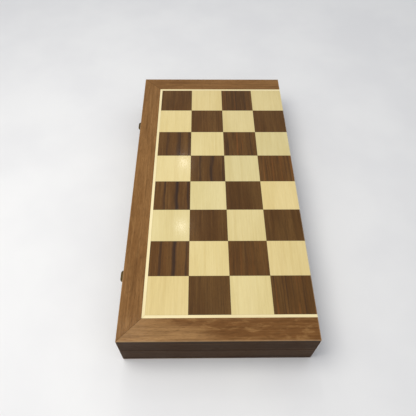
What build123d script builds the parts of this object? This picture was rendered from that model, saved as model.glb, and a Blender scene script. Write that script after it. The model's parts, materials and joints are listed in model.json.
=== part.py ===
from build123d import *
import os

# A folding chess board: two shallow wooden trays hinged together along one long side.
# The squares are on the outside of the trays, so the closed box shows half of the board on top.
# Origin: centre of the closed box's base. +X towards the hinges, +Y away from the near end, +Z up.

# Playing surface
square = 41.275
columns_per_half = 4
rows = 8
border = 25.4
stringing_width = 3.0
surface_thickness = 4.0
rail_edge_radius = 0.8

# Trays
box_height = 52.0
seam_gap = 0.2
wall_thickness = 10.0
rebate_width = 4.0
panel_thickness = 3.0
felt_thickness = 1.0
felt_margin = 0.5
rim_chamfer = 0.5

# Butt hinges, let into the rims so that the barrel lies on the outer corner of the seam
hinge_y = 115.0
hinge_length = 32.0
hinge_side_gap = 0.1
leaf_width = 8.6
leaf_thickness = 1.2
hinge_pin_radius = 1.0
running_clearance = 0.05
knuckle_count = 3
knuckle_gap = 0.15
notch_clearance = 0.35
screw_pitch = 19.0
fastener_sides = 16
screw_inset = 5.6
screw_head_radius = 1.9
screw_shank_radius = 1.0
screw_length = 9.0

# Hasps: a flap on the lower tray that snaps over a stud on the upper tray
hasp_y = 114.0
hasp_width = 14.0
hasp_metal = 0.8
hasp_foot_z = 7.0
hasp_axis_z = 18.5
hasp_axis_out = 1.75
hasp_barrel_radius = 1.7
hasp_pin_radius = 0.75
hasp_knuckle_width = 6.2
hasp_knuckle_gap = 0.15
hasp_corner_radius = 2.5
flap_stand_off = 0.25
flap_flare_start_z = 20.6
flap_flare_end_z = 24.0
lip_top_z = 33.1
lip_reach = 6.0
lip_corner_radius = 3.5
lip_bend_radius = 0.5
window_radius = 2.1
stud_z = 30.0
stud_radius = 1.6
stud_reach = 3.1
stud_bevel = 0.8
catch_foot_z = 26.9
catch_top_z = 39.5
catch_width = 11.0
nail_head_radius = 1.4
nail_head_height = 0.6
nail_shank = 1.0
nail_length = 7.0
base_nail_z = 11.0
base_nail_pitch = 8.2
catch_nail_z = 36.3
catch_nail_pitch = 5.6

# Worked out from the sizes above
box_width = columns_per_half * square + border
box_length = rows * square + 2 * border
latch_x = -box_width / 2
hinge_x = box_width / 2
near_y = -box_length / 2
rail_width = border - stringing_width
seam_z = box_height / 2
rim_z = seam_z - seam_gap / 2
wall_foot_z = surface_thickness
panel_top_z = surface_thickness + panel_thickness
hinge_axis_x = hinge_x + hinge_side_gap
hinge_bore_radius = hinge_pin_radius + running_clearance
hinge_barrel_radius = hinge_bore_radius + leaf_thickness
seam_plane = Plane.XY.offset(seam_z)


def block(x_low, x_high, y_low, y_high, z_low, z_high):
    """A box between two corners."""
    size = (x_high - x_low, y_high - y_low, z_high - z_low)
    return Pos(x_low, y_low, z_low) * Box(*size, align=(Align.MIN, Align.MIN, Align.MIN))


def rod_along_y(x, z, y_low, y_high, radius):
    """A round rod that lies along Y."""
    return Pos(x, (y_low + y_high) / 2, z) * Rot(90, 0, 0) * Cylinder(radius, y_high - y_low)


def rod_along_x(x_low, x_high, y, z, radius):
    """A round rod that lies along X."""
    return Pos((x_low + x_high) / 2, y, z) * Rot(0, 90, 0) * Cylinder(radius, x_high - x_low)


def upper_copy(shape):
    """The upper tray's copy of a piece of the lower tray."""
    return mirror(shape, about=seam_plane)


def far_copy(shape):
    """The far end's copy of a piece at the near end."""
    return mirror(shape, about=Plane.XZ)


def rail_profile():
    """Section of a border rail: distance in from the outer face, and height."""
    outline = make_face(
        Polyline((0, 0), (rail_width, 0), (rail_width, surface_thickness), (0, surface_thickness), close=True)
    )
    outer_corner = outline.vertices().sort_by(lambda v: v.X + v.Y)[0]
    return fillet(outer_corner, rail_edge_radius)


def stringing_profile():
    """Section of the light line between the border rail and the squares."""
    return Pos(rail_width + stringing_width / 2, surface_thickness / 2) * Rectangle(
        stringing_width, surface_thickness
    )


def wall_profile():
    """Section of a wall, with the rebate that holds the core panel and an eased outer rim."""
    return make_face(
        Polyline(
            (0, wall_foot_z),
            (wall_thickness - rebate_width, wall_foot_z),
            (wall_thickness - rebate_width, panel_top_z),
            (wall_thickness, panel_top_z),
            (wall_thickness, rim_z),
            (rim_chamfer, rim_z),
            (0, rim_z - rim_chamfer),
            close=True,
        )
    )


def long_side(profile, inset, width):
    """A bar along the latch side, mitred at both ends."""
    bar = extrude(Plane.XZ * Pos(latch_x, 0) * profile, amount=box_length / 2, both=True)
    outer = latch_x + inset
    end = near_y + inset
    plan = make_face(
        Polyline((outer, end), (outer, -end), (outer + width, -end - width), (outer + width, end + width), close=True)
    )
    return bar & extrude(plan, amount=box_height)


def near_side(profile, inset, width, hinge_mitre):
    """A bar along the near end, mitred at the latch corner and, where asked, at the hinge corner."""
    bar = extrude(Plane.YZ * Pos(near_y, 0) * profile, amount=box_width / 2, both=True)
    outer = near_y + inset
    start = latch_x + inset
    outer_end = hinge_x - inset * hinge_mitre
    inner_end = hinge_x - (inset + width) * hinge_mitre
    plan = make_face(
        Polyline((start, outer), (outer_end, outer), (inner_end, outer + width), (start + width, outer + width),
                 close=True)
    )
    return bar & extrude(plan, amount=box_height)


def squares(dark, upper):
    """The squares of one colour on one tray. The two trays' colours alternate across the hinge line."""
    first_x = latch_x + border + square / 2
    first_y = near_y + border + square / 2
    z = box_height - surface_thickness / 2 if upper else surface_thickness / 2
    tile = Box(square, square, surface_thickness)
    tiles = []
    for column in range(columns_per_half):
        for row in range(rows):
            is_dark = (row + column + upper) % 2 == 0
            if is_dark == dark:
                tiles.append(Pos(first_x + column * square, first_y + row * square, z) * tile)
    return Compound(tiles)


def core_panel():
    """The plywood sheet that carries the squares, let into the four walls."""
    edge = wall_thickness - rebate_width
    return block(latch_x + edge, hinge_x - edge, near_y + edge, -near_y - edge, wall_foot_z, panel_top_z)


def felt_lining():
    """The felt on the floor of the tray."""
    edge = wall_thickness + felt_margin
    top = panel_top_z + felt_thickness
    return block(latch_x + edge, hinge_x - edge, near_y + edge, -near_y - edge, panel_top_z, top)


def hinge_leaf(own_knuckles, bore_radius):
    """A leaf below the hinge axis, which runs along Y through the origin."""
    barrel_edge = hinge_barrel_radius + knuckle_gap
    top = -seam_gap / 2
    bottom = top - leaf_thickness
    leaf = block(-leaf_width, -barrel_edge, -hinge_length / 2, hinge_length / 2, bottom, top)
    pitch = hinge_length / knuckle_count
    for knuckle in own_knuckles:
        low = -hinge_length / 2 + knuckle * pitch + knuckle_gap / 2
        high = low + pitch - knuckle_gap
        leaf += block(-barrel_edge, 0, low, high, bottom, top)
        leaf += rod_along_y(0, 0, low, high, hinge_barrel_radius)
    return leaf - rod_along_y(0, 0, -hinge_length, hinge_length, bore_radius)


def countersunk_screw():
    """A screw with its flat head at the origin, pointing down. Screws and nails have few sides."""
    head_top = RegularPolygon(screw_head_radius, fastener_sides)
    neck = Pos(0, 0, -leaf_thickness) * RegularPolygon(screw_shank_radius, fastener_sides)
    return loft([head_top, neck]) + extrude(neck, amount=leaf_thickness - screw_length)


def leaf_screws():
    """The two screws of a leaf below the hinge axis."""
    return [Pos(-screw_inset, end * screw_pitch / 2, -seam_gap / 2) * countersunk_screw() for end in (-1, 1)]


def leaf_pocket():
    """What a hinge takes out of the rim below its axis: the mortise and the notch for the barrel."""
    half = hinge_length / 2
    bottom = -seam_gap / 2 - leaf_thickness
    mortise = block(-leaf_width, 0, -half, half, bottom, 0)
    notch = rod_along_y(0, 0, -half - knuckle_gap, half + knuckle_gap, hinge_barrel_radius + notch_clearance)
    return mortise + notch


def plate_outline(width, low, high, rounded_end):
    """A plate's outline seen from the side of the box, with two rounded corners at its free end."""
    outline = Pos(0, (low + high) / 2) * Rectangle(width, high - low)
    ordered = outline.vertices().sort_by(Axis.Y)
    corners = ordered[:2] if rounded_end == "bottom" else ordered[-2:]
    return fillet(corners, hasp_corner_radius)


def hasp_base():
    """The plate on the lower wall, with the two outer knuckles. Outwards is +X from the wall's face."""
    half = hasp_width / 2
    middle = hasp_knuckle_width / 2
    outline = plate_outline(hasp_width, hasp_foot_z, hasp_axis_z, "bottom")
    base = extrude(Plane.YZ * outline, amount=hasp_metal)
    clear_z = hasp_axis_z - hasp_barrel_radius - hasp_knuckle_gap
    base -= block(0, hasp_metal, -middle, middle, clear_z, hasp_axis_z)
    for side in (-1, 1):
        inner, outer = sorted((side * middle, side * half))
        base += rod_along_y(hasp_axis_out, hasp_axis_z, inner, outer, hasp_barrel_radius)
    return base - rod_along_y(hasp_axis_out, hasp_axis_z, -half, half, hasp_pin_radius)


def hasp_pin():
    """The pin, held by the outer knuckles."""
    half = hasp_width / 2
    return rod_along_y(hasp_axis_out, hasp_axis_z, -half, half, hasp_pin_radius)


def hasp_flap():
    """The flap: middle knuckle, plate with the stud's window, and a rounded finger lip bent outwards."""
    half = hasp_width / 2
    middle = hasp_knuckle_width / 2 - hasp_knuckle_gap
    back = hasp_metal + flap_stand_off
    front = back + hasp_metal
    lip_foot_z = lip_top_z - hasp_metal
    section = make_face(
        Polyline(
            (back, hasp_axis_z),
            (front, hasp_axis_z),
            (front, lip_foot_z),
            (lip_reach, lip_foot_z),
            (lip_reach, lip_top_z),
            (back, lip_top_z),
            close=True,
        )
    )
    inside_bend = section.vertices().sort_by_distance((front, lip_foot_z))[0]
    section = fillet(inside_bend, lip_bend_radius)
    outside_bend = section.vertices().sort_by_distance((back, lip_top_z))[0]
    section = fillet(outside_bend, lip_bend_radius + hasp_metal)
    flap = extrude(Plane.XZ * section, amount=half, both=True)
    front_view = make_face(
        Polyline(
            (-middle, hasp_axis_z),
            (middle, hasp_axis_z),
            (middle, flap_flare_start_z),
            (half, flap_flare_end_z),
            (half, lip_top_z),
            (-half, lip_top_z),
            (-half, flap_flare_end_z),
            (-middle, flap_flare_start_z),
            close=True,
        )
    )
    flap &= extrude(Plane.YZ * front_view, amount=lip_reach)
    plan = make_face(Polyline((0, -half), (lip_reach, -half), (lip_reach, half), (0, half), close=True))
    lip_corners = plan.vertices().group_by(Axis.X)[-1]
    flap &= extrude(fillet(lip_corners, lip_corner_radius), amount=box_height)
    flap += rod_along_y(hasp_axis_out, hasp_axis_z, -middle, middle, hasp_barrel_radius)
    flap -= rod_along_y(hasp_axis_out, hasp_axis_z, -half, half, hasp_pin_radius + running_clearance)
    return flap - rod_along_x(0, lip_reach, 0, stud_z, window_radius)


def hasp_catch():
    """The plate on the upper wall, with the bevelled stud that the flap snaps over."""
    outline = plate_outline(catch_width, catch_foot_z, catch_top_z, "top")
    plate = extrude(Plane.YZ * outline, amount=hasp_metal)
    stud = rod_along_x(hasp_metal / 2, stud_reach, 0, stud_z, stud_radius)
    tip = stud.edges().filter_by(GeomType.CIRCLE).sort_by(Axis.X)[-1]
    return plate + chamfer(tip, stud_bevel)


def round_head_nail():
    """A nail with a square shank, driven along -X, with the underside of its head on the plate's face."""
    half = nail_shank / 2
    disc = Plane.YZ.offset(hasp_metal) * RegularPolygon(nail_head_radius, fastener_sides)
    return extrude(disc, amount=nail_head_height) + block(-nail_length, hasp_metal, -half, half, -half, half)


def nail_pair(z, pitch):
    """Two nails side by side."""
    return [Pos(0, side * pitch / 2, z) * round_head_nail() for side in (-1, 1)]


def save(name, shape):
    """Write one node's file."""
    export_step(shape, f"parts/{name}.step")


def save_both_trays(name, shape):
    """Write a lower tray's piece and the upper tray's copy of it."""
    save(f"lower_{name}", shape)
    save(f"upper_{name}", upper_copy(shape))


os.makedirs("parts", exist_ok=True)

# Playing surface
for is_upper, tray in enumerate(("lower", "upper")):
    save(f"{tray}_light_squares", squares(False, is_upper))
    save(f"{tray}_dark_squares", squares(True, is_upper))

save_both_trays("latch_stringing", long_side(stringing_profile(), rail_width, stringing_width))
near_stringing = near_side(stringing_profile(), rail_width, stringing_width, hinge_mitre=False)
save_both_trays("near_stringing", near_stringing)
save_both_trays("far_stringing", far_copy(near_stringing))

save_both_trays("latch_rail", long_side(rail_profile(), 0, rail_width))
near_rail = near_side(rail_profile(), 0, rail_width, hinge_mitre=False)
save_both_trays("near_rail", near_rail)
save_both_trays("far_rail", far_copy(near_rail))

# Trays without their hardware
save_both_trays("core_panel", core_panel())
save_both_trays("felt_lining", felt_lining())
near_wall = near_side(wall_profile(), 0, wall_thickness, hinge_mitre=True)
save_both_trays("near_wall", near_wall)
save_both_trays("far_wall", far_copy(near_wall))
plain_long_wall = long_side(wall_profile(), 0, wall_thickness)

# Hinges and the walls that they are let into
even_knuckles = range(0, knuckle_count, 2)
odd_knuckles = range(1, knuckle_count, 2)
lower_leaf = hinge_leaf(even_knuckles, hinge_pin_radius)
upper_leaf = mirror(hinge_leaf(odd_knuckles, hinge_bore_radius), about=Plane.XY)
hinge_pin = rod_along_y(0, 0, -hinge_length / 2, hinge_length / 2, hinge_pin_radius)
lower_hinge_wall = mirror(plain_long_wall, about=Plane.YZ)
for name, y in (("near", -hinge_y), ("far", hinge_y)):
    place = Pos(hinge_axis_x, y, seam_z)
    screws = leaf_screws()
    lower_hinge_wall -= place * leaf_pocket()
    lower_hinge_wall -= [place * screw for screw in screws]
    lower_screws = Compound([place * screw for screw in screws])
    save(f"{name}_hinge_lower_leaf", place * (lower_leaf - screws))
    save(f"{name}_hinge_lower_screws", lower_screws)
    save(f"{name}_hinge_upper_leaf", place * (upper_leaf - [mirror(screw, about=Plane.XY) for screw in screws]))
    save(f"{name}_hinge_upper_screws", upper_copy(lower_screws))
    save(f"{name}_hinge_pin", place * hinge_pin)
save_both_trays("hinge_wall", lower_hinge_wall)

# Hasps and the walls that they are nailed to
lower_latch_wall = plain_long_wall
upper_latch_wall = upper_copy(plain_long_wall)
base_nails = nail_pair(base_nail_z, base_nail_pitch)
catch_nails = nail_pair(catch_nail_z, catch_nail_pitch)
for name, y in (("near", -hasp_y), ("far", hasp_y)):
    place = Pos(latch_x, y, 0) * Rot(0, 0, 180)
    lower_latch_wall -= [place * nail for nail in base_nails]
    upper_latch_wall -= [place * nail for nail in catch_nails]
    save(f"{name}_hasp_base", place * (hasp_base() - base_nails))
    save(f"{name}_hasp_base_nails", Compound([place * nail for nail in base_nails]))
    save(f"{name}_hasp_pin", place * hasp_pin())
    save(f"{name}_hasp_flap", place * hasp_flap())
    save(f"{name}_hasp_catch", place * (hasp_catch() - catch_nails))
    save(f"{name}_hasp_catch_nails", Compound([place * nail for nail in catch_nails]))
save("lower_latch_wall", lower_latch_wall)
save("upper_latch_wall", upper_latch_wall)
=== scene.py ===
import json
import math
import random

import bmesh
import bpy
from mathutils import Matrix, Vector


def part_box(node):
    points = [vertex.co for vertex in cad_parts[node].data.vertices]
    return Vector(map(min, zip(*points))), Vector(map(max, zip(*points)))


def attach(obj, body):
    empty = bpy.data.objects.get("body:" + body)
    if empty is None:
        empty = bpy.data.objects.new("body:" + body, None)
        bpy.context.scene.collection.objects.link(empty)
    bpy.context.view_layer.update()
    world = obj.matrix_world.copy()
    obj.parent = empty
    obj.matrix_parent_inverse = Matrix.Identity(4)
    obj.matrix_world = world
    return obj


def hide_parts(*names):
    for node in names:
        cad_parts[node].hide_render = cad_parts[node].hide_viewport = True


# Camera, from the photograph's perspective
CAMERA_PLACE = (-0.0155, -0.3234, 0.4435)
CAMERA_DOWN = 53.99
CAMERA_RIGHT = 1.46
CAMERA_ROLL = 1.04
FOCAL_PIXELS = 429.1
FRAME_PIXELS = 416
SENSOR_WIDTH = 36.0

# The large lamp over the board: metres, and watts
OVERHEAD_PLACE = (-0.28, -0.12, 0.78)
OVERHEAD_TARGET = (-0.05, 0.0, 0.05)
OVERHEAD_SIZE = 0.42
OVERHEAD_POWER = 3.8

# The two small ceiling lamps whose reflections the photograph shows on the varnish
CEILING_PLACES = ((-0.123, 1.443, 1.618), (-0.128, 0.976, 1.618))
CEILING_TARGET = (-0.036, -0.02, 0.052)
CEILING_SIZE = 0.03
CEILING_POWER = 0.9

# All lamps are a little warm, and the world a little cool. AMBIENT is the strength of the world's
# light on the object, and BACKGROUND its strength as the camera, gloss and glass see it.
LAMP_COLOUR = (1.0, 0.97, 0.92)
WORLD_COLOUR = (0.93, 0.95, 1.0, 1.0)
AMBIENT = 0.63
BACKGROUND = 0.92
FLOOR_SIZE = 60.0

# The board, in metres, as the CAD has it
SQUARE = 0.041275
COLUMNS = 4
ROWS = 8
RAIL_THICKNESS = 0.004

# How far sharp edges are eased, in metres
TILE_BEVEL = 0.00012
WOOD_BEVEL = 0.00012
METAL_BEVEL = 0.00012

# Meshes: points closer than WELD are one, and angles in degrees sort flat, smooth and sharp edges
WELD = 0.000002
FLAT_ANGLE = 0.5
SMOOTH_ANGLE = 20.0
SHARP_ANGLE = 50.0
ROUND_SIDES = 32

# Nails: metres, then the point's share of the shank's radius and its length in shank radii. The dome
# of the head ends in a small flat, given as a share of the head's radius.
NAIL_HEAD = 0.0006
NAIL_SHANK = 0.0005
NAIL_POINT = 0.2
NAIL_TAPER = 2
DOME_STEPS = 5
DOME_FLAT = 0.12

# Screws: metres, then shares of the head's radius, then how far each slot is turned, in degrees
SCREW_HEAD = 0.0012
SLOT_WIDTH = 0.0006
SLOT_DEPTH = 0.0006
SLOT_LENGTH = 3
SCREW_POINT = 0.08
SCREW_SHANK = 0.5
SCREW_NECK = 0.52
FIRST_SLOT_TURN = 35
NEXT_SLOT_TURN = 70

# Dark squares on top, by row from the far end and column from the latch side. The striped ones are
# cut from one board, so their three dark stripes lie at the same places; the others have streaks.
# A stripe is its centre and width, as shares of the square, and its depth.
STRIPED = {(2, 0): 0.85, (3, 1): 0.9, (4, 0): 1.0, (6, 0): 0.95}
STREAKED = {(2, 2): 0.9, (0, 2): 0.75, (3, 3): 0.6, (7, 3): 0.8, (1, 1): 0.3, (6, 2): 0.35}
STRIPES = ((0.28, 0.055, 0.8), (0.62, 0.085, 1.0), (0.945, 0.06, 0.75))

# Squares underneath draw the strengths of their stripes and streaks from these, and the squares on top
# that aren't named above have few streaks
DRAWN_STRIPES = (0.0, 0.0, 0.9)
DRAWN_STREAKS = (0.1, 0.2, 0.7)
PLAIN_STREAKS = 0.1

# Lowest and highest brightness of a square, how far it is warmer or cooler than the rest, how much
# brighter a striped one is between its stripes, and how far its grain is moved, in metres
DARK_LEVELS = (0.87, 1.07)
LIGHT_LEVELS = (0.96, 1.03)
WARMTH = 0.03
STRIPED_LEVEL = 0.12
GRAIN_SHIFT = 3

# Where in the grain, in metres, the plywood lies, and how much further on each side of a tray is than
# the last. The lower tray's rails have less edge wear and painted edge highlight than the upper one's.
PLYWOOD_SEED = 9.0
SEED_STEP = 1.37
LOWER_RAIL_WEAR_AND_HIGHLIGHT = 0.3


def srgb(red, green, blue):
    """A colour as seen on a screen, 0 to 255, as the linear values that Blender uses."""
    linear = []
    for channel in (red, green, blue):
        value = channel / 255
        linear.append(value / 12.92 if value <= 0.04045 else ((value + 0.055) / 1.055) ** 2.4)
    return (*linear, 1.0)


class Shader:
    """Builds one material's nodes."""

    def __init__(self, name):
        self.material = bpy.data.materials.new(name)
        self.material.use_nodes = True
        self.tree = self.material.node_tree
        self.surface = self.tree.nodes["Principled BSDF"]

    def add(self, kind, inputs=None, **settings):
        node = self.tree.nodes.new(kind)
        for key, value in settings.items():
            setattr(node, key, value)
        for key, value in (inputs or {}).items():
            self.plug(node.inputs[key], value)
        return node

    def plug(self, socket, value):
        if isinstance(value, bpy.types.NodeSocket):
            self.tree.links.new(value, socket)
        else:
            socket.default_value = value

    def set(self, **inputs):
        """Sets or links inputs of the material's surface; underscores stand for spaces."""
        for key, value in inputs.items():
            self.plug(self.surface.inputs[key.replace("_", " ")], value)

    def math(self, operation, a, b=0.0):
        return self.add("ShaderNodeMath", {0: a, 1: b}, operation=operation).outputs[0]

    def vector(self, operation, a, b):
        return self.add("ShaderNodeVectorMath", {0: a, 1: b}, operation=operation).outputs[0]

    def mix(self, factor, a, b, blend="MIX"):
        node = self.add("ShaderNodeMix", data_type="RGBA", blend_type=blend)
        self.plug(node.inputs[0], factor)
        self.plug(node.inputs[6], a)
        self.plug(node.inputs[7], b)
        return node.outputs[2]

    def step(self, value, low, high, start=0.0, end=1.0):
        """A smooth rise from start to end as value goes from low to high."""
        node = self.add(
            "ShaderNodeMapRange",
            {"Value": value, "From Min": low, "From Max": high, "To Min": start, "To Max": end},
            interpolation_type="SMOOTHSTEP",
        )
        return node.outputs[0]

    def noise(self, place, scale=1.0, detail=2.0, roughness=0.5, distortion=0.0):
        inputs = {"Vector": place, "Scale": scale, "Detail": detail}
        inputs |= {"Roughness": roughness, "Distortion": distortion}
        return self.add("ShaderNodeTexNoise", inputs).outputs[0]

    def place(self):
        """Where the point is on the object at rest, in metres."""
        return self.add("ShaderNodeTexCoord").outputs["Object"]

    def bump(self, height, strength, distance):
        node = self.add("ShaderNodeBump", {"Strength": strength, "Distance": distance, "Height": height})
        self.set(Normal=node.outputs[0])


def attribute(shader, name):
    return shader.add("ShaderNodeAttribute", attribute_name=name)


def wood(name, look, along, seed=0.0, tiles=False):
    """Varnished wood. along is the axis that the grain follows."""
    shader = Shader(name)
    place = shader.vector("ADD", shader.place(), (seed, seed * 0.7, seed * 1.3))
    if tiles:
        place = shader.vector("ADD", place, attribute(shader, "tile_shift").outputs["Vector"])

    def stretched(across, length):
        scale = tuple(length if axis == along else across for axis in "XYZ")
        return shader.vector("MULTIPLY", place, scale)

    # Slow changes of tone, broad figure, and growth lines that wander along the grain
    tone = shader.noise(stretched(34.0, 7.0), detail=2.0)
    # A steady change of tone along the grain; on the near rail it is partly painted shade
    if look["drift"]:
        parts = shader.add("ShaderNodeSeparateXYZ", {0: shader.place()})
        tone = shader.math("ADD", tone, shader.math("MULTIPLY", parts.outputs[along], look["drift"]))
    figure = shader.noise(stretched(230.0, 11.0), detail=3.0, roughness=0.55, distortion=0.35)
    streaks = shader.noise(stretched(560.0, 15.0), detail=2.0, roughness=0.6, distortion=0.2)
    fibre = shader.noise(stretched(1500.0, 70.0), detail=3.0, roughness=0.65)
    pores = shader.noise(stretched(2100.0, 190.0), detail=1.0)

    dark = srgb(*look["dark"])
    pale = srgb(*look["pale"])
    colour = shader.mix(shader.step(tone, 0.34, 0.66), srgb(*look["base"]), srgb(*look["second"]))
    colour = shader.mix(shader.step(figure, 0.45, 0.72, 0.0, look["figure"]), colour, dark)
    colour = shader.mix(shader.step(streaks, 0.5, 0.78, 0.0, look["streaks"]), colour, dark)
    colour = shader.mix(shader.step(streaks, 0.5, 0.24, 0.0, look["pale_streaks"]), colour, pale)
    if look["mottle"]:
        colour = mottled(shader, colour, look, stretched(170.0, 60.0), tone)
    if "stripe" in look:
        colour = striped(shader, colour, look, stretched(25.0, 25.0), stretched(420.0, 9.0))
    if tiles:
        tile_tone = attribute(shader, "tile_tone").outputs["Color"]
        colour = shader.mix(1.0, colour, tile_tone, blend="MULTIPLY")
    colour = shade(shader, colour, shader.step(fibre, 0.3, 0.7, 1.0 - look["fibre"], 1.0 + look["fibre"]))
    pore_mask = shader.step(pores, 0.56, 0.72, 0.0, look["pores"])
    colour = shader.mix(pore_mask, colour, dark)
    # Dark glue lines round the squares; on the rails and walls, dark mitres and painted shade along the
    # outer edges
    colour = shade(shader, colour, tile_joint(shader, look) if tiles else rail_joints_and_edge_shade(shader, look))

    # Pale outer edges of the closed box: partly wear, partly a painted highlight where the rounded edges
    # catch the light
    edge_variation = shader.noise(shader.place(), scale=60.0, detail=4.0, roughness=0.6)
    wear = shader.step(edge_variation, 0.3, 0.65, look["wear"] * 0.55, look["wear"])
    wear = shader.math("MULTIPLY", board_edge(shader), wear)
    colour = shader.mix(wear, colour, srgb(*look["worn"]))

    smudge = shader.noise(shader.place(), scale=21.0, detail=3.0)
    rough = shader.step(smudge, 0.3, 0.7, look["rough"] - 0.05, look["rough"] + 0.07)
    rough = shader.math("ADD", rough, shader.math("MULTIPLY", pore_mask, 0.2))
    shader.set(Base_Color=colour, Roughness=rough, IOR=1.48, Specular_IOR_Level=look["gloss"])
    shader.set(Coat_Weight=look["gloss"], Coat_Roughness=0.1)
    hollows = shader.math("MULTIPLY", pore_mask, -1.0)
    height = shader.math("ADD", shader.math("MULTIPLY", fibre, 0.4), hollows)
    shader.bump(height, look["bump"], 0.0001)
    return shader.material


def shade(shader, colour, factor):
    """colour times a plain number."""
    node = shader.add("ShaderNodeVectorMath", {0: colour, "Scale": factor}, operation="SCALE")
    return node.outputs[0]


def mottled(shader, colour, look, place, tone):
    """Cloudy cross figure: golden and dark patches where the slow change of tone is high."""
    cloud = shader.noise(place, detail=4.0, roughness=0.6, distortion=0.5)
    where = shader.step(tone, 0.4, 0.6, 0.25, 1.0)
    dark = shader.math("MULTIPLY", shader.step(cloud, 0.5, 0.7), where)
    gold = shader.math("MULTIPLY", shader.step(cloud, 0.5, 0.3), where)
    colour = shader.mix(shader.math("MULTIPLY", dark, look["mottle"]), colour, srgb(*look["dark"]))
    return shader.mix(shader.math("MULTIPLY", gold, look["mottle"]), colour, srgb(*look["pale"]))


def striped(shader, colour, look, slow, fine):
    """Dark stripes at set places across a square, and finer streaks, by the square's attributes."""
    parts = shader.add("ShaderNodeSeparateXYZ", {0: attribute(shader, "tile_place").outputs["Vector"]})
    wander = shader.math("MULTIPLY", shader.math("SUBTRACT", shader.noise(slow, detail=2.0), 0.5), 0.14)
    across = shader.math("ADD", shader.math("DIVIDE", parts.outputs["X"], SQUARE), 0.5)
    across = shader.math("ADD", across, wander)
    breaks = shader.noise(fine, detail=3.0, roughness=0.6)
    total = 0.0
    for centre, width, depth in STRIPES:
        away = shader.math("ABSOLUTE", shader.math("SUBTRACT", across, centre))
        total = shader.math("MAXIMUM", shader.step(away, width * 0.15, width, depth, 0.0), total)
    total = shader.math("MULTIPLY", total, shader.step(breaks, 0.25, 0.6, 0.55, 1.0))
    total = shader.math("MULTIPLY", total, attribute(shader, "tile_stripe").outputs["Fac"])
    colour = shader.mix(total, colour, srgb(*look["stripe"]))
    streak = attribute(shader, "tile_streak").outputs["Fac"]
    dark = shader.math("MULTIPLY", shader.step(breaks, 0.52, 0.68), streak)
    red = shader.math("MULTIPLY", shader.step(breaks, 0.47, 0.34), streak)
    colour = shader.mix(shader.math("MULTIPLY", dark, 0.75), colour, srgb(*look["stripe"]))
    return shader.mix(shader.math("MULTIPLY", red, 0.6), colour, srgb(*look["ruddy"]))


def tile_joint(shader, look):
    """Darkens the thin glue line round each square."""
    parts = shader.add("ShaderNodeSeparateXYZ", {0: attribute(shader, "tile_place").outputs["Vector"]})
    sides = [shader.math("ABSOLUTE", parts.outputs[axis]) for axis in ("X", "Y")]
    furthest = shader.math("MAXIMUM", *sides)
    half = SQUARE / 2
    return shader.step(furthest, half - 0.0004, half - 0.0001, 1.0, look["joint"])


def from_middle(shader):
    """How far the point lies from the closed box's middle along each axis, in metres."""
    centred = shader.vector("SUBTRACT", shader.place(), tuple((BOARD_LOW + BOARD_HIGH) / 2))
    return shader.add("ShaderNodeSeparateXYZ", {0: centred}).outputs


def board_gaps(shader, parts):
    """How far the point lies inside each pair of the closed box's outer faces, in metres."""
    half = (BOARD_HIGH - BOARD_LOW) / 2
    return [shader.math("SUBTRACT", half[k], shader.math("ABSOLUTE", parts[k])) for k in range(3)]


def board_edge(shader):
    """1 on the closed box's outer edges, falling to 0 a millimetre away."""
    gaps = board_gaps(shader, from_middle(shader))
    nearer = shader.math("MINIMUM", gaps[0], gaps[1])
    farther = shader.math("MAXIMUM", gaps[0], gaps[1])
    second = shader.math("MAXIMUM", nearer, shader.math("MINIMUM", farther, gaps[2]))
    return shader.step(second, 0.0002, 0.001, 1.0, 0.0)


def rail_joints_and_edge_shade(shader, look):
    """Darkens the mitres, and paints shade on the outer side faces next to the top and bottom edges, over
    the rails' outer edge and the line where they meet the walls; partly a darker veneer edge, partly
    painted shade.
    """
    parts = from_middle(shader)
    gaps = board_gaps(shader, parts)
    from_latch = shader.math("ADD", parts["X"], (BOARD_HIGH.x - BOARD_LOW.x) / 2)
    mitre = shader.math("ABSOLUTE", shader.math("SUBTRACT", from_latch, gaps[1]))
    line = shader.step(mitre, 0.00008, 0.0004, look["joint"], 1.0)
    # Painted shade on the outer side faces just below the top edge and above the bottom edge, partly a
    # darker veneer edge
    outside = shader.step(shader.math("MINIMUM", gaps[0], gaps[1]), 0.0002, 0.0005, 1.0, 0.0)
    under = shader.step(gaps[2], 0.0008, 0.0016)
    above = shader.step(gaps[2], RAIL_THICKNESS + 0.0004, RAIL_THICKNESS + 0.0022, 1.0, 0.0)
    band = shader.math("MULTIPLY", shader.math("MULTIPLY", under, above), outside)
    band = shader.math("SUBTRACT", 1.0, shader.math("MULTIPLY", band, look["band"]))
    return shader.math("MULTIPLY", line, band)


def felt():
    """Short-napped felt."""
    shader = Shader("felt")
    place = shader.place()
    nap = shader.noise(place, scale=2600.0, detail=4.0, roughness=0.7)
    patches = shader.noise(place, scale=34.0, detail=3.0)
    colour = shader.mix(shader.step(patches, 0.35, 0.65), srgb(27, 79, 51), srgb(32, 88, 57))
    colour = shade(shader, colour, shader.step(nap, 0.3, 0.7, 0.7, 1.3))
    shader.set(Base_Color=colour, Roughness=0.95, Sheen_Weight=0.45, Sheen_Roughness=0.5)
    shader.bump(nap, 0.5, 0.0004)
    return shader.material


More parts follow.
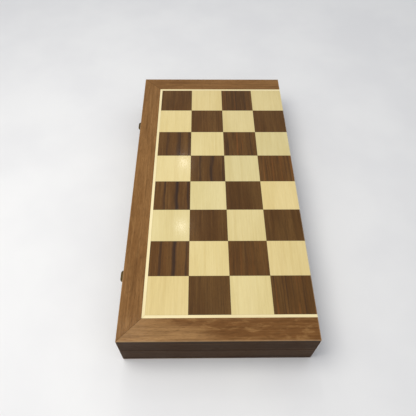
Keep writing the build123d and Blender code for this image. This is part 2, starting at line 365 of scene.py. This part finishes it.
def brass(name, bright, dull, rubbed, rough):
    """Brass with soft tarnish, fine rubbing marks, and cleaner metal where its edges have been rubbed."""
    shader = Shader(name)
    place = shader.place()
    patches = shader.noise(place, scale=260.0, detail=5.0, roughness=0.7)
    specks = shader.noise(place, scale=2600.0, detail=2.0)
    scratches = shader.noise(shader.vector("MULTIPLY", place, (900.0, 9000.0, 2400.0)), detail=2.0)
    tarnish = shader.step(patches, 0.3, 0.72)
    colour = shader.mix(tarnish, srgb(*bright), srgb(*dull))
    colour = shader.mix(shader.step(specks, 0.6, 0.75, 0.0, 0.35), colour, srgb(*dull))
    colour = shade(shader, colour, shader.step(scratches, 0.3, 0.7, 0.88, 1.12))
    on_edge = attribute(shader, "rubbed").outputs["Fac"]
    edge = shader.math("MULTIPLY", on_edge, shader.step(specks, 0.35, 0.6, 0.45, 0.9))
    colour = shader.mix(edge, colour, srgb(*rubbed))
    roughness = shader.step(patches, 0.3, 0.72, rough, rough + 0.16)
    roughness = shader.math("SUBTRACT", roughness, shader.math("MULTIPLY", edge, 0.1))
    shader.set(Base_Color=colour, Metallic=1.0, Roughness=roughness)
    shader.bump(shader.math("ADD", scratches, specks), 0.14, 0.00005)
    return shader.material


def dress(node, material):
    """Gives a CAD node's object one material."""
    slots = frame["nodes"][node].data.materials
    slots.clear()
    slots.append(material)


def square_look(dice, upper, dark, place):
    """One square's vertex attributes. place is its row from the far end and its column."""
    offset = Vector([dice.uniform(-GRAIN_SHIFT, GRAIN_SHIFT) for axis in "XYZ"])
    level = dice.uniform(*(DARK_LEVELS if dark else LIGHT_LEVELS))
    warmth = dice.uniform(-WARMTH, WARMTH)
    stripes = dice.choice(DRAWN_STRIPES)
    streaks = dice.choice(DRAWN_STREAKS)
    if upper:
        stripes = STRIPED.get(place, 0.0)
        streaks = STREAKED.get(place, PLAIN_STREAKS)
    if dark:
        level += STRIPED_LEVEL * stripes
    tone = (level + warmth, level, level - warmth, 1.0)
    return {"tile_shift": offset, "tile_tone": tone, "tile_stripe": stripes, "tile_streak": streaks}


def tile_set(tray, dark, material):
    """One tray's squares of one colour, as separate bevelled blocks in one piece."""
    node = f"{tray}_{'dark' if dark else 'light'}_squares"
    low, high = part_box(node)
    first_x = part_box("upper_latch_stringing")[1].x + SQUARE / 2
    first_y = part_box("upper_near_stringing")[1].y + SQUARE / 2
    upper = tray == "upper"
    mesh = bmesh.new()
    layers = {
        "tile_shift": mesh.verts.layers.float_vector.new("tile_shift"),
        "tile_tone": mesh.verts.layers.float_color.new("tile_tone"),
        "tile_stripe": mesh.verts.layers.float.new("tile_stripe"),
        "tile_streak": mesh.verts.layers.float.new("tile_streak"),
    }
    local = mesh.verts.layers.float_vector.new("tile_place")
    dice = random.Random(node)
    for column in range(COLUMNS):
        for row in range(ROWS):
            if ((row + column + upper) % 2 == 0) != dark:
                continue
            middle = Vector((first_x + column * SQUARE, first_y + row * SQUARE, (low.z + high.z) / 2))
            size = Matrix.Diagonal((SQUARE, SQUARE, high.z - low.z, 1.0))
            made = bmesh.ops.create_cube(mesh, size=1.0, matrix=Matrix.Translation(middle) @ size)
            edges = {edge for vertex in made["verts"] for edge in vertex.link_edges}
            made = bmesh.ops.bevel(
                mesh, geom=list(edges), offset=TILE_BEVEL, segments=2, profile=0.5, affect="EDGES"
            )
            look = square_look(dice, upper, dark, (ROWS - 1 - row, column))
            block = {vertex for face in made["faces"] for vertex in face.verts}
            for vertex in connected(block):
                for name, value in look.items():
                    vertex[layers[name]] = value
                vertex[local] = vertex.co - middle
    return add_piece(f"{node}_inlay", mesh, node, material)


def connected(block):
    """All vertices joined to those of block."""
    found = set(block)
    front = list(block)
    while front:
        vertex = front.pop()
        for edge in vertex.link_edges:
            other = edge.other_vert(vertex)
            if other not in found:
                found.add(other)
                front.append(other)
    return found


# Colours as a screen shows them, and how strong each feature of the wood is. "joint" is the brightness
# left in the joints, "band" the painted shade on the outer side faces by the top and bottom edges (partly a
# darker veneer edge), "drift" a change of tone per metre.
MAPLE = {
    "base": (217, 200, 145), "second": (211, 193, 136), "dark": (186, 160, 100), "pale": (224, 209, 158),
    "worn": (240, 226, 180), "figure": 0.16, "streaks": 0.16, "pale_streaks": 0.25, "fibre": 0.035,
    "pores": 0.1, "mottle": 0.0, "drift": 0.0, "wear": 0.25, "joint": 0.8, "band": 0.0, "rough": 0.36,
    "gloss": 0.07, "bump": 0.12,
}
STRINGING_LOOK = dict(MAPLE, base=(236, 222, 176), second=(230, 214, 166), figure=0.12)
WALNUT = {
    "base": (100, 70, 35), "second": (86, 57, 26), "dark": (62, 41, 19), "pale": (120, 88, 48),
    "stripe": (48, 33, 24), "ruddy": (122, 74, 34), "worn": (168, 138, 100), "figure": 0.35,
    "streaks": 0.3, "pale_streaks": 0.35, "fibre": 0.1, "pores": 0.4, "mottle": 0.0, "drift": 0.0,
    "wear": 0.45, "joint": 0.66, "rough": 0.38, "gloss": 0.07, "bump": 0.3,
}
BORDER = {
    "base": (134, 97, 57), "second": (121, 84, 46), "dark": (88, 58, 29), "pale": (158, 120, 74),
    "worn": (186, 154, 114), "figure": 0.4, "streaks": 0.35, "pale_streaks": 0.4, "fibre": 0.14,
    "pores": 0.5, "mottle": 0.3, "drift": 0.0, "wear": 0.6, "joint": 0.5, "band": 0.8, "rough": 0.4,
    "gloss": 0.04, "bump": 0.3,
}
# The near rail grows darker and more mottled towards the hinge side: partly the wood's own change of tone,
# partly painted shade
NEAR_BORDER = dict(BORDER, base=(154, 117, 75), second=(112, 75, 40), mottle=0.5, drift=1.8)
WALL = dict(
    BORDER, base=(75, 56, 41), second=(68, 49, 33), dark=(46, 32, 21), pale=(92, 68, 46),
    worn=(114, 84, 57), mottle=0.0, figure=0.3, wear=0.3, joint=1.0, band=0.3, gloss=0.015,
)
PLYWOOD = dict(MAPLE, base=(188, 158, 112), second=(176, 146, 100), gloss=0.03)


def add_piece(name, mesh, node, material):
    """A piece made from a bmesh, which stands for a CAD node and moves with the node's body."""
    data = bpy.data.meshes.new(name)
    mesh.to_mesh(data)
    mesh.free()
    data.materials.append(material)
    data.shade_smooth()
    data.set_sharp_from_angle(angle=math.radians(SMOOTH_ANGLE))
    piece = bpy.data.objects.new(name, data)
    bpy.context.scene.collection.objects.link(piece)
    flat = piece.modifiers.new("flat_faces_stay_flat", "WEIGHTED_NORMAL")
    flat.keep_sharp = True
    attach(piece, BODY_OF[node])
    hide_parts(node)
    return piece


def eased(node, width, material):
    """A CAD node's own form with its sharp edges eased."""
    mesh = bmesh.new()
    mesh.from_mesh(frame["nodes"][node].data)
    rubbed = mesh.faces.layers.float.new("rubbed")
    bmesh.ops.remove_doubles(mesh, verts=mesh.verts, dist=WELD)
    bmesh.ops.dissolve_limit(mesh, angle_limit=math.radians(FLAT_ANGLE), verts=mesh.verts, edges=mesh.edges)
    sharp = [
        edge for edge in mesh.edges
        if len(edge.link_faces) == 2 and edge.calc_face_angle() > math.radians(SHARP_ANGLE)
    ]
    made = bmesh.ops.bevel(
        mesh, geom=sharp, offset=width, segments=2, profile=0.5, affect="EDGES", clamp_overlap=True
    )
    for face in made["faces"]:
        face[rubbed] = 1.0
    return add_piece(f"{node}_eased", mesh, node, material)


def turned(mesh, profile, place, direction):
    """Adds a solid of revolution: profile is (height, radius) along direction, from its foot."""
    turn = Vector((0, 0, 1)).rotation_difference(Vector(direction)).to_matrix().to_4x4()
    spot = Matrix.Translation(place) @ turn
    angles = [2 * math.pi * side / ROUND_SIDES for side in range(ROUND_SIDES)]
    rings = []
    for height, radius in profile:
        ring = []
        for angle in angles:
            point = Vector((radius * math.cos(angle), radius * math.sin(angle), height))
            ring.append(mesh.verts.new(spot @ point))
        rings.append(ring)
    for low, high in zip(rings, rings[1:]):
        for side in range(ROUND_SIDES):
            other = (side + 1) % ROUND_SIDES
            mesh.faces.new((low[side], low[other], high[other], high[side]))
    mesh.faces.new(reversed(rings[0]))
    mesh.faces.new(rings[-1])


def islands(node):
    """The boxes of the separate solids of a CAD node."""
    mesh = bmesh.new()
    mesh.from_mesh(frame["nodes"][node].data)
    bmesh.ops.remove_doubles(mesh, verts=mesh.verts, dist=WELD)
    left = set(mesh.verts)
    boxes = []
    while left:
        block = connected({left.pop()})
        left -= block
        low = Vector([min(vertex.co[k] for vertex in block) for k in range(3)])
        high = Vector([max(vertex.co[k] for vertex in block) for k in range(3)])
        boxes.append((low, high))
    mesh.free()
    return sorted(boxes, key=lambda box: box[0].y)


def nails(node, material):
    """Domed nails where the node's plain ones are."""
    mesh = bmesh.new()
    for low, high in islands(node):
        radius = (high.z - low.z) / 2
        middle = (low + high) / 2
        foot = Vector((high.x, middle.y, middle.z))
        length = high.x - low.x
        shank = length - NAIL_HEAD
        profile = [(0.0, NAIL_SHANK * NAIL_POINT), (NAIL_SHANK * NAIL_TAPER, NAIL_SHANK)]
        profile += [(shank, NAIL_SHANK), (shank, radius)]
        for step in range(1, DOME_STEPS):
            angle = math.pi / 2 * step / DOME_STEPS
            profile.append((shank + NAIL_HEAD * math.sin(angle), radius * math.cos(angle)))
        profile.append((length, radius * DOME_FLAT))
        turned(mesh, profile, foot, (-1, 0, 0))
    return add_piece(f"{node}_domed", mesh, node, material)


def slotted_screws(node, material):
    """Countersunk screws with a slot across the head, where the node's plain ones are."""
    mesh = bmesh.new()
    slots = bmesh.new()
    upper = "_upper_" in node
    up = Vector((0, 0, -1 if upper else 1))
    for number, (low, high) in enumerate(islands(node)):
        radius = (high.y - low.y) / 2
        middle = (low + high) / 2
        length = high.z - low.z
        foot = Vector((middle.x, middle.y, high.z if upper else low.z))
        neck = length - SCREW_HEAD
        profile = [(0.0, radius * SCREW_POINT), (radius, radius * SCREW_SHANK)]
        profile += [(neck, radius * SCREW_NECK), (length, radius)]
        turned(mesh, profile, foot, up)
        turn = math.radians(FIRST_SLOT_TURN + NEXT_SLOT_TURN * number)
        cutter = Matrix.Translation(foot + up * length) @ Matrix.Rotation(turn, 4, "Z")
        cutter = cutter @ Matrix.Diagonal((radius * SLOT_LENGTH, SLOT_WIDTH, SLOT_DEPTH * 2, 1.0))
        bmesh.ops.create_cube(slots, size=1.0, matrix=cutter)
    piece = add_piece(f"{node}_slotted", mesh, node, material)
    cut_out(piece, slots)
    return piece


def cut_out(piece, slots):
    """Cuts a bmesh's forms out of a piece and keeps the result as the piece's own mesh."""
    data = bpy.data.meshes.new("slots")
    slots.to_mesh(data)
    slots.free()
    tool = bpy.data.objects.new("slots", data)
    bpy.context.scene.collection.objects.link(tool)
    piece.modifiers.clear()
    cut = piece.modifiers.new("slots", "BOOLEAN")
    cut.object = tool
    cut.solver = "EXACT"
    seen = bpy.context.evaluated_depsgraph_get()
    solid = bpy.data.meshes.new_from_object(piece.evaluated_get(seen))
    piece.modifiers.clear()
    piece.data = solid
    bpy.data.objects.remove(tool)


def add_board():
    """Woods and felt for every node of the two trays."""
    walnut = wood("walnut_squares", WALNUT, "Y", tiles=True)
    maple = wood("maple_squares", MAPLE, "Y", tiles=True)
    for tray in ("lower", "upper"):
        tile_set(tray, True, walnut)
        tile_set(tray, False, maple)
    seed = 1.0
    lining = felt()
    ply = wood("plywood", PLYWOOD, "Y", seed=PLYWOOD_SEED)
    for tray in ("lower", "upper"):
        for side, along in (("latch", "Y"), ("near", "X"), ("far", "X"), ("hinge", "Y")):
            seed += SEED_STEP
            woods = {"wall": WALL}
            if side != "hinge":
                woods["rail"] = NEAR_BORDER if side == "near" else BORDER
                if tray == "lower":
                    woods["rail"] = dict(woods["rail"], wear=LOWER_RAIL_WEAR_AND_HIGHLIGHT)
                woods["stringing"] = STRINGING_LOOK
            for part, look in woods.items():
                node = f"{tray}_{side}_{part}"
                eased(node, WOOD_BEVEL, wood(node, look, along, seed + len(part)))
        dress(f"{tray}_core_panel", ply)
        dress(f"{tray}_felt_lining", lining)


def add_metal():
    """Brass hinges, and darker antique brass hasps."""
    hinge = brass(
        "hinge_brass", bright=(214, 178, 104), dull=(178, 138, 74), rubbed=(234, 204, 136), rough=0.28
    )
    screw = brass(
        "screw_brass", bright=(206, 170, 100), dull=(156, 120, 66), rubbed=(226, 196, 128), rough=0.32
    )
    hasp = brass(
        "hasp_brass", bright=(92, 74, 42), dull=(50, 42, 27), rubbed=(150, 122, 66), rough=0.34
    )
    for node in frame["nodes"]:
        if node.endswith("_nails"):
            nails(node, hasp)
        elif node.endswith("_screws"):
            slotted_screws(node, screw)
        elif "_hasp_" in node:
            eased(node, METAL_BEVEL, hasp)
        elif "_hinge_" in node and not node.endswith("_wall"):
            eased(node, METAL_BEVEL, hinge)


def add_floor():
    """A plain pale floor, large enough for its horizon to be level."""
    shader = Shader("floor")
    speckle = shader.noise(shader.place(), scale=9.0, detail=3.0)
    colour = shader.mix(shader.step(speckle, 0.3, 0.7), srgb(226, 226, 226), srgb(232, 232, 231))
    shader.set(Base_Color=colour, Roughness=0.6)
    bpy.ops.mesh.primitive_plane_add(size=FLOOR_SIZE, location=(0, 0, 0))
    floor = bpy.context.object
    floor.name = "floor"
    floor.data.materials.append(shader.material)


def add_world():
    """Even pale light from all round, which the camera, gloss and glass see as nearly white."""
    world = bpy.data.worlds.new("studio")
    bpy.context.scene.world = world
    world.use_nodes = True
    nodes = world.node_tree.nodes
    links = world.node_tree.links
    background = nodes["Background"]
    background.inputs["Color"].default_value = WORLD_COLOUR
    seen = nodes.new("ShaderNodeLightPath")
    strength = nodes.new("ShaderNodeMapRange")
    strength.inputs["To Min"].default_value = AMBIENT
    strength.inputs["To Max"].default_value = BACKGROUND
    socket = strength.inputs["Value"]
    for ray in ("Is Camera Ray", "Is Glossy Ray", "Is Transmission Ray"):
        either = nodes.new("ShaderNodeMath")
        either.operation = "MAXIMUM"
        links.new(seen.outputs[ray], either.inputs[0])
        links.new(either.outputs[0], socket)
        socket = either.inputs[1]
    socket.default_value = 0.0
    links.new(strength.outputs[0], background.inputs["Strength"])


def add_lamp(name, place, target, size, power):
    """A soft square lamp at a place, pointing at target."""
    lamp = bpy.data.lights.new(name, "AREA")
    lamp.size = size
    lamp.energy = power
    lamp.color = LAMP_COLOUR
    holder = bpy.data.objects.new(name, lamp)
    holder.location = place
    holder.rotation_euler = (Vector(target) - Vector(place)).to_track_quat("-Z", "Y").to_euler()
    bpy.context.scene.collection.objects.link(holder)


def add_camera():
    """The photograph's camera."""
    data = bpy.data.cameras.new("camera")
    data.sensor_width = SENSOR_WIDTH
    data.lens = SENSOR_WIDTH * FOCAL_PIXELS / FRAME_PIXELS
    data.clip_start = 0.01
    camera = bpy.data.objects.new("camera", data)
    down, right, roll = (math.radians(angle) for angle in (CAMERA_DOWN, CAMERA_RIGHT, CAMERA_ROLL))
    turn = Matrix.Rotation(-right, 4, "Z") @ Matrix.Rotation(math.pi / 2 - down, 4, "X")
    turn = turn @ Matrix.Rotation(roll, 4, "Z")
    camera.matrix_world = Matrix.Translation(CAMERA_PLACE) @ turn
    bpy.context.scene.collection.objects.link(camera)
    bpy.context.scene.camera = camera


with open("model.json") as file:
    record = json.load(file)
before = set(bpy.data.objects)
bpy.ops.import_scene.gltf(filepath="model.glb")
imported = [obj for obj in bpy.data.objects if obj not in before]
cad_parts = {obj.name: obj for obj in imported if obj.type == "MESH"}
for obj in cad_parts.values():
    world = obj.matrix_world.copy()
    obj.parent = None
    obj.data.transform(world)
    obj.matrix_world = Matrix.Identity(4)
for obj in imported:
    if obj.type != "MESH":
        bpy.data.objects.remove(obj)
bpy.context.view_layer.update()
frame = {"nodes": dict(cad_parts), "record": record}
BOARD_LOW, near_rail_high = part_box("lower_near_rail")
BOARD_HIGH = Vector((near_rail_high.x, -BOARD_LOW.y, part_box("upper_near_rail")[1].z))
BODY_OF = {node: body for body, nodes in frame["record"]["behaviour"]["bodies"].items() for node in nodes}

add_board()
add_metal()
add_floor()
add_world()
add_lamp("overhead", OVERHEAD_PLACE, OVERHEAD_TARGET, OVERHEAD_SIZE, OVERHEAD_POWER)
for place in CEILING_PLACES:
    add_lamp("ceiling", place, CEILING_TARGET, CEILING_SIZE, CEILING_POWER)
add_camera()

bpy.context.scene.view_settings.view_transform = "Standard"
